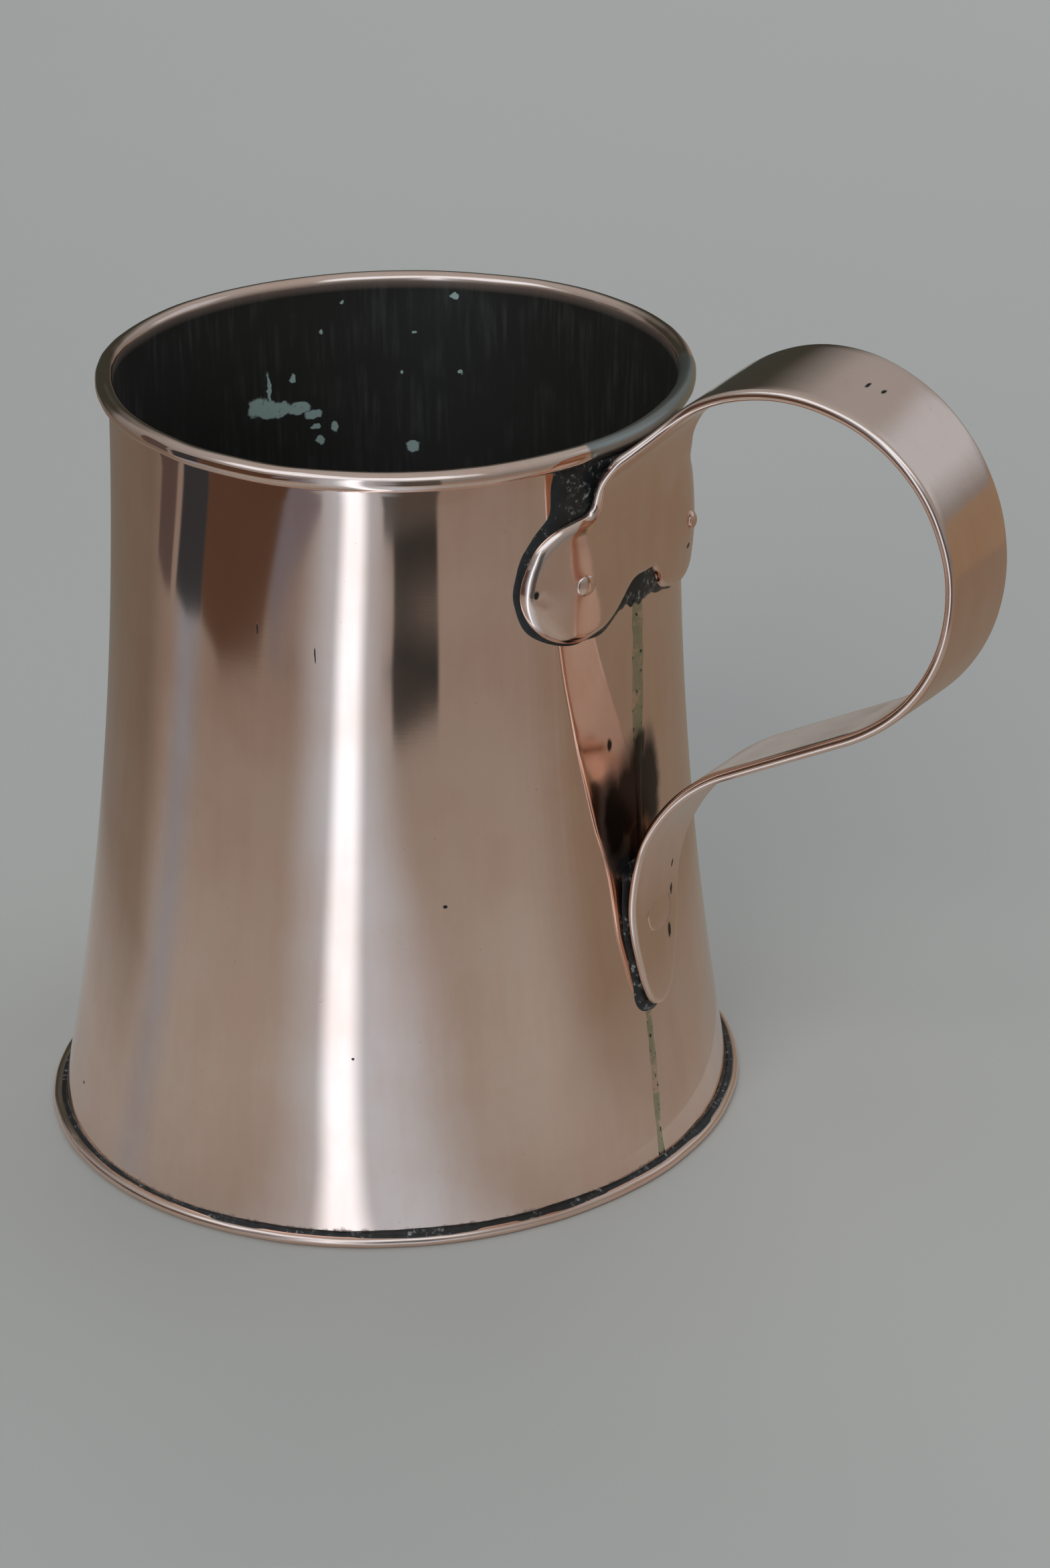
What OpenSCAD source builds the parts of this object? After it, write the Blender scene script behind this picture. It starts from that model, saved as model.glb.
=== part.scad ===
// Tall copper mug: a flared and seamed body with a wired rim, a folded-on base, and
// a strap handle that is soldered and riveted over the body's seam.
// Millimetres. Z is up, the base stands on z = 0 and the handle points along +X.

/* [Body] */
// Height from the table to the top of the rolled rim
mug_h = 135; // [130:1:140]
// Diameter across the outside of the rolled rim
rim_d = 105; // [102:1:108]
// Thickness of the copper sheet of the body
wall_t = 0.7; // [0.6:0.1:0.9]
// How much larger the body's radius is at the foot than at the waist
flare = 10.5; // [9:0.5:12]
// Height of the waist, the body's narrowest ring
waist_h = 120; // [116:1:122]

/* [Rim] */
// Diameter of the wire that the rim is rolled around
wire_d = 1.8; // [1.5:0.1:2.2]

/* [Foot] */
// Thickness of the base sheet
base_t = 0.6; // [0.5:0.1:0.8]
// How far the folded lip stands out from the body
lip_w = 2.1; // [1.9:0.1:2.6]
// Width of the solder that shows between the lip and the body
groove_w = 0.7; // [0.5:0.1:0.8]

/* [Seam] */
// Width of the brazed joint that runs down the body under the handle
braze_w = 2.6; // [2:0.1:3]

/* [Handle] */
// Width of the strap around the loop
strap_w = 19; // [18:0.5:20]
// Thickness of the strap
strap_t = 1.8; // [1.6:0.1:2]
// Thickness of the solder under the two ends of the strap
solder_t = 0.5; // [0.4:0.1:0.6]
// Radius of the loop over its top
crown_r = 30.2; // [29.6:0.1:30.6]
// Radius of the loop around its outer side
grip_r = 28.3; // [28:0.1:28.8]
// Radius of the bend that lays the lower end against the body
heel_r = 33.7; // [33:0.1:34.4]

/* [Upper end of the handle] */
// Radius of each of the two round lobes
lobe_r = 10.8; // [10.4:0.1:11.2]
// Distance from the middle of the handle to the middle of a lobe
lobe_y = 15.4; // [15:0.1:16]
// Height of the middle of the lobes
lobe_z = 112; // [111:0.5:113]
// Width of the neck, where the strap runs into the lobes
neck_w = 28.4; // [27:0.2:29.4]

/* [Lower end of the handle] */
// Width of the tongue that lies on the body
tongue_w = 15.2; // [14:0.2:16]
// Height of the tip of the tongue
tongue_z = 30.5; // [30:0.5:32]

/* [Rivets] */
// Diameter of the small rivet heads in the lobes
lobe_head_d = 3.6; // [3:0.2:4.2]
// Height of the small rivet heads
lobe_head_h = 0.6; // [0.4:0.1:0.8]
// Diameter of the shanks of the rivets in the lobes
lobe_shank_d = 2; // [1.6:0.1:2.4]
// Diameter of the flat rivet head in the tongue
tongue_head_d = 7.6; // [7:0.2:8]
// Height of the flat rivet head in the tongue
tongue_head_h = 0.35; // [0.3:0.05:0.5]
// Diameter of the shank of the rivet in the tongue
tongue_shank_d = 3; // [2.6:0.1:3.4]
// Height of the rivet in the tongue
tongue_rivet_z = 47; // [46:0.5:48]

/* [Hidden] */
$fn = 180;
// The flare is one very large arc, drawn in bands of about this height
band_h = 4.5;

copper = "#b87a62";
copper_edge = "#a86a54";
brass = "#a9a273";
iron = "#5c5f62";
solder = "#3a3d3e";

rim_r = rim_d / 2;
// The rolled bead at the rim: its radius, and where its middle is
bead_r = wire_d / 2 + wall_t;
bead_x = rim_r - bead_r;
bead_z = mug_h - bead_r;
// The wall's outer radius at the waist, and the arc that flares it to the foot
waist_r = bead_x - bead_r + wall_t;
flare_r = (waist_h * waist_h + flare * flare) / (2 * flare);
// The seam stops under the bead, and its angle round the body gives its width
seam_top = bead_z - bead_r - 0.1;
braze_angle = 2 * asin(braze_w / 2 / waist_r);

// Outer radius of the wall at a height
function wall_r(z) = waist_r + flare_r - sqrt(flare_r * flare_r - pow(waist_h - z, 2));

// The foot is three layers: the base sheet, the body's flange, and the base sheet folded back
flange_z = base_t;
fold_z = flange_z + wall_t;
lip_h = fold_z + base_t;
lip_edge_r = lip_h / 2;
lip_x = wall_r(lip_h) + lip_w - lip_edge_r;
groove_x = wall_r(fold_z) + groove_w;
inner_fillet = 1.8;

// The middle of the strap's thickness, measured out from the wall
strap_mid = solder_t + strap_t / 2;
// How far the solder shows round the lobes and round the tongue
lobe_margin = 1.3;
tongue_margin = 1.4;

// The strap keeps its full width down to the first of these heights, and narrows
// through the second to the third, where the sides of the tongue begin
taper_z = [84, 62, 52];
taper_swell = 0.4;
tongue_side_r = 16;
tongue_tip_z = tongue_z + tongue_w / 2 + 4;
// The lobes' shoulders, and how far above them the neck has the width of the strap
shoulder_z = lobe_z + lobe_r - 0.4;
neck_rise = 6.4;

// Distances from the axis that are inside the wall, outside it, and past the handle
inside_x = 40;
outside_x = 80;
beyond_x = 130;

// The strap's middle line in the XZ plane, as [length, 0] for a straight stretch or
// [radius, turn] for a bend. A negative turn is clockwise, seen from -Y.
throat_r = 9;
LOOP = [
    [4.2, 0],
    [throat_r, -49.3],
    [9.6, 0],
    [crown_r, -82],
    [grip_r, -100],
    [37.5, -11]
];
heel_turn = 68.5;
// It starts a little inside the curve of the lobes' plate, so that the two cross cleanly
START = [waist_r + strap_mid - 0.25, 122, 90];
// Bends are drawn in steps of this many degrees
bend_step = 3;

// A point some way along one stretch, as [x, z, heading]
function along(p, s, t) =
    s[1] == 0
    ? [p[0] + t * s[0] * cos(p[2]), p[1] + t * s[0] * sin(p[2]), p[2]]
    : let (side = sign(s[1]), h = p[2] + t * s[1])
      [p[0] + side * s[0] * (sin(h) - sin(p[2])), p[1] + side * s[0] * (cos(p[2]) - cos(h)), h];
function walk(p, run, i = 0) = i == len(run) ? p : walk(along(p, run[i], 1), run, i + 1);
// The straight run back is as long as it takes for the heel to meet the wall
loop_end = walk(START, LOOP);
function back_run(tries = 4, length = 20) =
    tries == 0
    ? length
    : let (p = walk(loop_end, [[length, 0], [heel_r, heel_turn]]))
      back_run(tries - 1, length + (p[0] - wall_r(p[1]) - strap_mid) / -cos(loop_end[2]));
heel_end = walk(loop_end, [[back_run(), 0], [heel_r, heel_turn]]);
tongue_len = (heel_end[1] - tongue_z) / -sin(heel_end[2]);
RUN = concat(LOOP, [[back_run(), 0], [heel_r, heel_turn], [tongue_len, 0]]);

// All the points along the middle line
function line_points(p, run, i = 0) =
    i == len(run)
    ? []
    : let (steps = run[i][1] == 0 ? 1 : ceil(abs(run[i][1]) / bend_step))
      concat(
          [for (k = [1 : steps]) along(p, run[i], k / steps)],
          line_points(along(p, run[i], 1), run, i + 1)
      );
LINE = concat([START], line_points(START, RUN));
// One face of the strap, a distance to the left of the middle line
function face(points, d) = [for (p = points) [p[0] - d * sin(p[2]), p[1] + d * cos(p[2])]];
function turned(points) = [for (i = [len(points) - 1 : -1 : 0]) points[i]];

// Points up the wall's outer face, moved outward by a distance, between two heights
function wall_line(grow, low, high) =
    let (bands = ceil((high - low) / band_h))
    [for (k = [0 : bands]) let (z = low + k * (high - low) / bands) [wall_r(z) + grow, z]];

// A turned solid, with the ends of its turn on the far side from the handle
module turn_full() {
    rotate([0, 0, 180]) rotate_extrude() children();
}

// The space inside the wall's outer face, grown outward, up to a height
module wall_solid(grow = 0, high = mug_h) {
    turn_full() polygon(concat([[0, 0]], wall_line(grow, 0, high), [[0, high]]));
}

// An outline in the YZ plane, drawn with Y to the right, pushed out along +X
module push_out(end_x = outside_x) {
    translate([inside_x, 0, 0])
        rotate([90, 0, 90])
            linear_extrude(height = end_x - inside_x) children();
}

// A cylinder out through the wall along its radius, at a sideways distance and a height
module radial(y, z, d) {
    rotate([0, 0, asin(y / wall_r(z))])
        translate([inside_x, 0, z])
            rotate([0, 90, 0]) cylinder(d = d, h = outside_x - inside_x, $fn = 48);
}

// The shanks of all three rivets, which pierce the handle, the solder and the wall
module rivet_shanks() {
    for (side = [-1, 1])
        radial(side * lobe_y, lobe_z, lobe_shank_d);
    radial(0, tongue_rivet_z, tongue_shank_d);
}

// Rolled body sheet: the flared wall, the curl round the wire and the flange at the foot
module body_wall() {
    color(copper)
        difference() {
            rolled_sheet();
            rivet_shanks();
        }
}

// The sheet before it is pierced, with its two edges a seam's width apart
module rolled_sheet() {
    difference() {
        turn_full() {
            wall_section(flange_z, bead_z);
            translate([bead_x, bead_z]) curl_section();
            flange_section();
        }
        seam_wedge()
            translate([inside_x, fold_z]) square([outside_x - inside_x, seam_top - fold_z]);
    }
}

// The rolled edge of the sheet, open towards the wall where the sheet ends
module curl_section() {
    far = 2 * bead_r;
    difference() {
        circle(r = bead_r);
        circle(r = wire_d / 2);
        polygon([[0, 0], [-far, -bead_r / 2], [-far, -far], [-bead_r, -far]]);
    }
}

// The foot of the sheet, turned outward between the two layers of the base
module flange_section() {
    translate([wall_r(flange_z) - wall_t, flange_z])
        square([lip_x - wall_r(flange_z) + wall_t, wall_t]);
    translate([lip_x, lip_edge_r]) circle(d = wall_t);
}

// Turns a section round the narrow wedge between the two edges of the sheet
module seam_wedge() {
    rotate([0, 0, -braze_angle / 2]) rotate_extrude(angle = braze_angle) children();
}

// The wall's own section between two heights
module wall_section(low, high) {
    polygon(concat(wall_line(0, low, high), turned(wall_line(-wall_t, low, high))));
}

// Spelter that fills the seam, flush with both faces of the sheet
module side_seam_braze() {
    color(brass)
        difference() {
            seam_wedge() wall_section(fold_z, seam_top);
            rivet_shanks();
        }
}

// Wire inside the curl
module rim_wire() {
    color(iron) turn_full() translate([bead_x, bead_z]) circle(d = wire_d);
}

// Base sheet with its edge folded up and back over the body's flange
module base_plate() {
    color(copper_edge)
        turn_full()
            difference() {
                union() {
                    square([lip_x, lip_h]);
                    translate([lip_x, lip_edge_r]) circle(r = lip_edge_r);
                }
                translate([0, flange_z]) square([groove_x, lip_h]);
                translate([0, flange_z]) square([lip_x, wall_t]);
                translate([lip_x, lip_edge_r]) circle(d = wall_t);
            }
}

// Fillet of solder inside, between the wall and the base
module base_inner_solder() {
    inner = wall_r(flange_z) - wall_t;
    top = flange_z + inner_fillet;
    color(solder)
        turn_full()
            difference() {
                polygon(concat(
                    [[inner - inner_fillet, top], [inner - inner_fillet, flange_z]],
                    wall_line(-wall_t, flange_z, top)
                ));
                translate([inner - inner_fillet, top]) circle(r = inner_fillet - 0.2);
            }
}

// Thin ring of solder in the groove between the body and the folded lip
module foot_groove_solder() {
    top = fold_z + base_t / 2;
    color(solder)
        turn_full()
            polygon(concat([[groove_x, top], [groove_x, fold_z]], wall_line(0, fold_z, top)));
}

// An outline in the XZ plane, spread to both sides of it
module spread(width) {
    rotate([90, 0, 0]) linear_extrude(height = width, center = true) children();
}

// Front outline of the strap: full width round the loop, narrowing to the tongue
module strap_outline() {
    right = [
        [tongue_w / 2, tongue_tip_z], [tongue_w / 2, taper_z[2]],
        [tongue_w / 2 + taper_swell, taper_z[1]], [strap_w / 2, taper_z[0]],
        [strap_w / 2, 2 * taper_z[0]]
    ];
    polygon(concat(right, turned([for (p = right) [-p[0], p[1]]])));
    tongue_tip(0);
}

// The pointed round end of the tongue, grown by a distance
module tongue_tip(grow) {
    intersection() {
        translate([tongue_side_r - tongue_w / 2, tongue_tip_z]) circle(r = tongue_side_r + grow);
        translate([tongue_w / 2 - tongue_side_r, tongue_tip_z]) circle(r = tongue_side_r + grow);
        translate([-tongue_w, tongue_z - grow])
            square([2 * tongue_w, tongue_tip_z - tongue_z + grow]);
    }
}

// Front outline of the upper end: two round lobes and the web up to the neck
module lobes_outline(grow = 0) {
    web = [8, 4];
    top = shoulder_z + grow;
    neck = neck_w / 2 + grow;
    right = [
        [web[0], lobe_z - web[1] - grow], [lobe_y, lobe_z], [neck + 2, top],
        [neck, top + 1], [neck - 1, top + 3.4], [strap_w / 2 + 1.4 + grow, top + neck_rise]
    ];
    for (side = [-1, 1])
        translate([side * lobe_y, lobe_z]) circle(r = lobe_r + grow);
    polygon(concat(right, turned([for (p = right) [-p[0], p[1]]])));
}

// One strip of copper: the two-lobed end, the loop and the tongue
module handle_strap() {
    color(copper)
        difference() {
            union() {
                intersection() {
                    spread(strap_w)
                        polygon(concat(face(LINE, strap_t / 2), turned(face(LINE, -strap_t / 2))));
                    push_out(beyond_x) strap_outline();
                }
                intersection() {
                    difference() {
                        wall_solid(grow = solder_t + strap_t);
                        wall_solid(grow = solder_t);
                    }
                    push_out() lobes_outline();
                }
            }
            rivet_shanks();
        }
}

// Solder under and around the lobes, and in the throat between the strap and the rim
module upper_end_solder() {
    neck_top = shoulder_z + neck_rise + 0.2;
    patch_w = strap_w + 14;
    throat = face([for (p = LINE) if (p[0] < 60 && p[1] > 100) p], strap_t / 2);
    color(solder)
        difference() {
            union() {
                intersection() {
                    wall_solid(grow = solder_t, high = seam_top);
                    push_out() {
                        lobes_outline(lobe_margin);
                        translate([-patch_w / 2, lobe_z]) square([patch_w, mug_h - lobe_z]);
                    }
                }
                translate([inside_x, -strap_w / 2, neck_top])
                    cube([rim_r - inside_x, strap_w, seam_top - neck_top]);
            }
            wall_solid();
            spread(strap_w)
                polygon(concat([[outside_x, START[1]]], throat, [[outside_x, 2 * mug_h]]));
            rivet_shanks();
        }
}

// Bed of solder between the tongue and the wall
module lower_end_solder() {
    top = taper_z[2] + 1;
    width = tongue_w + 2 * tongue_margin;
    heel = face([for (p = LINE) if (p[1] < top + 10) p], -strap_t / 2);
    last = heel[len(heel) - 1];
    color(solder)
        difference() {
            intersection() {
                spread(width)
                    polygon(concat(
                        [[inside_x, top + 5]], heel,
                        [last + [0.4, -4], [inside_x, last[1] - 4]]
                    ));
                push_out() {
                    tongue_tip(tongue_margin);
                    translate([-width / 2, tongue_tip_z - 1])
                        square([width, top - tongue_tip_z + 1]);
                }
            }
            wall_solid();
            rivet_shanks();
        }
}

// A rivet along +X: a low round head outside, a shank, and a flattened head inside
module rivet(head_d, shank_d, grip, head_h) {
    head_r = (head_d * head_d / 4 + head_h * head_h) / (2 * head_h);
    rotate([0, 90, 0]) {
        translate([0, 0, -grip]) cylinder(d = shank_d, h = grip, $fn = 48);
        for (end = [0, 1])
            translate([0, 0, end == 0 ? 0 : -grip])
                mirror([0, 0, end])
                    rotate_extrude()
                        intersection() {
                            translate([0, head_h - head_r]) circle(r = head_r);
                            square([head_d, head_h]);
                        }
    }
}

// Pair of small rivets, one through the middle of each lobe
module upper_rivets() {
    stack = solder_t + strap_t;
    color(copper_edge)
        for (side = [-1, 1])
            rotate([0, 0, asin(side * lobe_y / wall_r(lobe_z))])
                translate([wall_r(lobe_z) + stack, 0, lobe_z])
                    rivet(lobe_head_d, lobe_shank_d, stack + wall_t, lobe_head_h);
}

// Large rivet through the tongue, hammered nearly flat
module lower_rivet() {
    p = along(heel_end, [(heel_end[1] - tongue_rivet_z) / -sin(heel_end[2]), 0], 1);
    color(copper_edge)
        translate([p[0] + strap_t / 2, 0, p[1]])
            rivet(tongue_head_d, tongue_shank_d, strap_t + solder_t + wall_t, tongue_head_h);
}

body_wall();
side_seam_braze();
rim_wire();
base_plate();
base_inner_solder();
foot_groove_solder();
handle_strap();
upper_end_solder();
lower_end_solder();
upper_rivets();
lower_rivet();
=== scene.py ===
"""The looks of the copper mug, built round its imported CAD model.

Shapes are worked out in millimetres in the CAD frame (z up, the handle along +X) as if the mug
were perfectly round and upright. settle() then gives each point the mug's own irregularity, and
add_piece() turns the result into metres.
"""

import math

import bpy
import numpy as np
from mathutils import Matrix, Vector, geometry, noise


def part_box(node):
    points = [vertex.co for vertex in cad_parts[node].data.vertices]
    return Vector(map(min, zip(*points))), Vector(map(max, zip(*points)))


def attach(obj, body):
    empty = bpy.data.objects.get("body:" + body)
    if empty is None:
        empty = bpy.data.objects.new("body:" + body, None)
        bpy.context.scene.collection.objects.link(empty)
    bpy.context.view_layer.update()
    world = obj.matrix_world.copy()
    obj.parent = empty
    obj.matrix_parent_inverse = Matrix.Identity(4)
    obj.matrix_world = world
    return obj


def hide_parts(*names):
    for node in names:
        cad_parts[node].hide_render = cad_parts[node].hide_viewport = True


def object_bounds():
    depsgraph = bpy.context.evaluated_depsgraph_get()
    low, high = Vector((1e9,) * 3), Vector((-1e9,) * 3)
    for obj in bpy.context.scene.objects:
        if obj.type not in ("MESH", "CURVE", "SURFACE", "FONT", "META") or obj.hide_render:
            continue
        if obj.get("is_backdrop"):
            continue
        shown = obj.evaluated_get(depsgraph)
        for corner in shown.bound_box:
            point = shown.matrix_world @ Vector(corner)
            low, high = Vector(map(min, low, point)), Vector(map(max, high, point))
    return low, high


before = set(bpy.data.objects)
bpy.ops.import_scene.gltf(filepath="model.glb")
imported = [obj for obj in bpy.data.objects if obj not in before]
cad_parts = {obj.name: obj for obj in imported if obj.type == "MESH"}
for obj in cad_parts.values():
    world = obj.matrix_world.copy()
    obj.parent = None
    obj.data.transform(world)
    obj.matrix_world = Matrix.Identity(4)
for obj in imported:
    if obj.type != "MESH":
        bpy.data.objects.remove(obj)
CAD_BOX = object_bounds()

MM = 0.001


def node_box(node):
    """Lowest and highest corner of a CAD node, in millimetres."""
    return [np.array(corner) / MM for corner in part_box(node)]


# ---------------------------------------------------------------- sizes, from the frame
MUG_H = node_box("body_wall")[1][2]
WIRE_LOW, WIRE_HIGH = node_box("rim_wire")
WIRE_R = (WIRE_HIGH[2] - WIRE_LOW[2]) / 2
BEAD_Z = (WIRE_HIGH[2] + WIRE_LOW[2]) / 2
BEAD_X = WIRE_HIGH[1] - WIRE_R
BEAD_R = MUG_H - BEAD_Z
WALL_T = BEAD_R - WIRE_R
WAIST_R = BEAD_X - BEAD_R + WALL_T
BASE_T = node_box("body_wall")[0][2]
LIP_R = node_box("base_plate")[1][1]
LIP_H = node_box("base_plate")[1][2]
FOLD_Z = BASE_T + WALL_T

# ---------------------------------------------------------------- design sizes of the CAD model
WAIST_H = 120
FLARE = 10.5
FLARE_R = (WAIST_H**2 + FLARE**2) / (2 * FLARE)
GROOVE_W = 0.7
STRAP_W = 19
STRAP_T = 1.8
SOLDER_T = 0.5
STRAP_MID = SOLDER_T + STRAP_T / 2
LOBE_R = 10.8
LOBE_Y = 15.4
LOBE_Z = 112
NOTCH_Z = 107.9
RIVET_Z = 47
RIVET_D = 7.6
SMALL_RIVET_D = 3.4
TONGUE_Z = 30.5
# The strap's middle line: [length, 0] is straight, [radius, turn] a bend, clockwise if below 0
START = (WAIST_R + STRAP_MID - 0.25, 122, 90)
LOOP = [(4.2, 0), (9, -49.3), (9.6, 0), (30.2, -82), (28.3, -100), (37.5, -11)]
HEEL = (33.7, 68.5)

# ---------------------------------------------------------------- how this mug is out of true
# The way the camera looks, seen from above: the handle is turned this far from its right
HANDLE_TURN = math.radians(-38.5)
# Shares of the radius that go with the cosine and the sine of twice the angle, and then, at the
# rim only, with the sine of three times it
RIM_OVAL = (-0.043, -0.012)
FOOT_OVAL = (0.008, 0.010)
RIM_THIRD = 0.0106
# How far the rim's back rises and its front sinks
RIM_TILT = 0.86
# How much narrower the foot's groove is where its lip is pressed shut
PINCH = 0.42
# The middle of the base is domed
DOME_R = 54
DOME_RISE = 0.5
# How far the axis leans over, sideways for each millimetre up
LEAN = 0.029


def smooth(low, high, x):
    """0 below low, 1 above high, and a smooth step between."""
    t = np.clip((np.asarray(x, float) - low) / (high - low), 0, 1)
    return t * t * (3 - 2 * t)


def wall_r(z):
    """Outer radius of the wall at a height."""
    return WAIST_R + FLARE_R - np.sqrt(FLARE_R**2 - (WAIST_H - np.asarray(z, float)) ** 2)


def noise_at(points, size, seed=0):
    """Smooth noise from -1 to 1 at each point, with bumps of about this size in millimetres."""
    offset = Vector((seed * 17.3, seed * 5.1, seed * 9.7))
    return np.array([noise.noise(Vector(p) / size + offset) for p in points])


def settle(points):
    """Gives points of the true shape the oval rim and foot, the tilt and the lean of this mug."""
    p = np.array(points, float).reshape(-1, 3)
    r, z = np.hypot(p[:, 0], p[:, 1]), p[:, 2]
    azimuth = np.arctan2(p[:, 1], p[:, 0])
    seen = azimuth + HANDLE_TURN
    up = np.clip(z / MUG_H, 0, 1)
    grow = (FOOT_OVAL[0] + (RIM_OVAL[0] - FOOT_OVAL[0]) * up) * np.cos(2 * seen)
    grow += (FOOT_OVAL[1] + (RIM_OVAL[1] - FOOT_OVAL[1]) * up) * np.sin(2 * seen)
    grow += RIM_THIRD * np.sin(3 * seen) * smooth(0.75, 1, up)
    near = 1 - smooth(5, 16, r - wall_r(np.clip(z, 0, MUG_H)))
    r = r * (1 + grow * near)
    x = r * np.cos(azimuth) + LEAN * z * math.cos(HANDLE_TURN)
    y = r * np.sin(azimuth) - LEAN * z * math.sin(HANDLE_TURN)
    z = z + RIM_TILT * np.sin(seen) * smooth(0.5, 1, up) * near
    return np.column_stack([x, y, z])


def add_piece(name, points, faces, material, replaces=(), zones=None):
    """Makes one piece of the mug from points in millimetres. zones holds values at its points."""
    mesh = bpy.data.meshes.new(name)
    mesh.from_pydata((settle(points) * MM).tolist(), [], faces)
    mesh.update()
    for zone, values in (zones or {}).items():
        layer = mesh.attributes.new(zone, "FLOAT", "POINT")
        layer.data.foreach_set("value", np.asarray(values, np.float32))
    mesh.materials.append(material)
    mesh.shade_smooth()
    piece = bpy.data.objects.new(name, mesh)
    bpy.context.scene.collection.objects.link(piece)
    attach(piece, "root")
    if replaces:
        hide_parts(*replaces)


# ---------------------------------------------------------------- turned shapes
def turn(profile, steps):
    """Points and faces of a closed profile of (radius, height) turned round the axis, outside on the
    left hand when the profile is followed. A radius of 0 makes one point."""
    angles = np.arange(steps) * 2 * math.pi / steps
    points, rings = [], []
    for r, z in profile:
        if r < 1e-6:
            rings.append([len(points)] * steps)
            points.append((0, 0, z))
            continue
        rings.append(list(range(len(points), len(points) + steps)))
        points += [(r * math.cos(a), r * math.sin(a), z) for a in angles]
    faces = []
    for low, high in zip(rings, rings[1:] + rings[:1]):
        for i in range(steps):
            j = (i + 1) % steps
            corners = list(dict.fromkeys([low[i], low[j], high[j], high[i]]))
            if len(corners) > 2:
                faces.append(corners)
    return np.array(points), faces


def arc(centre, r, start, end, count):
    """Points along an arc, in degrees."""
    angles = np.radians(np.linspace(start, end, count))
    return [(centre[0] + r * math.cos(a), centre[1] + r * math.sin(a)) for a in angles]


def spaced(start, end, step):
    """Evenly spaced numbers, both ends included, about this far apart."""
    return np.linspace(start, end, max(2, int(round(abs(end - start) / step)) + 1))


# ---------------------------------------------------------------- flat outlines made solid
def curve(points, step=0.6):
    """A smooth line through the points, sampled evenly."""
    p = np.array(points, float)
    p = np.vstack([2 * p[0] - p[1], p, 2 * p[-1] - p[-2]])
    out = []
    for a, b, c, d in zip(p, p[1:], p[2:], p[3:]):
        count = max(1, int(round(np.linalg.norm(c - b) / step)))
        for k in range(count):
            t = k / count
            bend = (2 * a - 5 * b + 4 * c - d) * t**2 + (3 * b - a - 3 * c + d) * t**3
            out.append(0.5 * (2 * b + (c - a) * t + bend))
    return [tuple(q) for q in out] + [tuple(p[-2])]


def even(loop, step):
    """A closed loop with its points moved to even spacing along it."""
    p = np.array(loop + loop[:1], float)
    run = np.concatenate([[0], np.cumsum(np.linalg.norm(np.diff(p, axis=0), axis=1))])
    at = np.linspace(0, run[-1], int(round(run[-1] / step)), endpoint=False)
    return np.column_stack([np.interp(at, run, p[:, k]) for k in (0, 1)])


def inward(loop):
    """Unit normals into a loop that runs anticlockwise, smoothed over its neighbours."""
    along = np.roll(loop, -2, axis=0) - np.roll(loop, 2, axis=0)
    along /= np.linalg.norm(along, axis=1)[:, None]
    return np.column_stack([-along[:, 1], along[:, 0]])


def inside(points, loop):
    """Which points lie inside the closed loop."""
    x, y = points[:, 0], points[:, 1]
    result = np.zeros(len(points), bool)
    for (x1, y1), (x2, y2) in zip(loop, np.roll(loop, -1, axis=0)):
        crosses = (y1 > y) != (y2 > y)
        with np.errstate(divide="ignore", invalid="ignore"):
            result ^= crosses & (x < (x2 - x1) * (y - y1) / (y2 - y1) + x1)
    return result


def distance_to(points, loop):
    """Distance from each point to the nearest point of the loop."""
    near = np.full(len(points), 1e9)
    for start in range(0, len(loop), 64):
        part = loop[start : start + 64]
        d = np.linalg.norm(points[:, None, :] - part[None], axis=2).min(axis=1)
        near = np.minimum(near, d)
    return near


def slab(loop, edge, rings, grid, place):
    """A closed plate with the loop as its outline.

    place(q, s, side) gives the 3-D points for outline coordinates q, at a share s from 0 to 1
    of the way in over the rounded edge, on side +1 or -1, or 0 for the outline itself. edge is
    the width of that edge, one number or one for each point of the loop. It has this many
    rings, and grid is the spacing of the points within.
    """
    n = len(loop)
    normals = inward(loop)
    shares = [1 - math.cos(k / rings * math.pi / 2) for k in range(1, rings + 1)]
    edge = np.broadcast_to(np.asarray(edge, float), (n,))[:, None]
    loops = [loop + normals * edge * share for share in shares]
    last = loops[-1]
    low, high = last.min(axis=0), last.max(axis=0)
    xs, ys = spaced(low[0], high[0], grid), spaced(low[1], high[1], grid)
    field = np.array([(x, y) for y in ys for x in xs])
    field = field[inside(field, last)]
    field = field[distance_to(field, last) > 0.6 * grid]
    border = [(i, (i + 1) % n) for i in range(n)]
    flat = [Vector(q) for q in np.vstack([last, field])]
    made = geometry.delaunay_2d_cdt(flat, border, [], 1, 1e-5)
    inner = np.array([tuple(v) for v in made[0]])
    on_last = {i: min(sources) for i, sources in enumerate(made[3]) if sources and min(sources) < n}
    points, faces, count = [place(loop, np.zeros(n), 0)], [], n
    for side in (1, -1):
        starts = [0]
        for ring, share in zip(loops, shares):
            starts.append(count)
            points.append(place(ring, np.full(n, share), side))
            count += n
        fill = count
        points.append(place(inner, np.ones(len(inner)), side))
        count += len(inner)
        index = [starts[-1] + on_last[i] if i in on_last else fill + i for i in range(len(inner))]
        made_faces = [[a + i, a + (i + 1) % n, b + (i + 1) % n, b + i]
                      for a, b in zip(starts, starts[1:]) for i in range(n)]
        made_faces += [[index[i] for i in face] for face in made[2]]
        faces += made_faces if side > 0 else [face[::-1] for face in made_faces]
    points = np.vstack(points)
    used = np.zeros(len(points), bool)
    used[[i for face in faces for i in face]] = True
    number = (np.cumsum(used) - 1).tolist()
    return points[used], [[number[i] for i in face] for face in faces]


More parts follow.
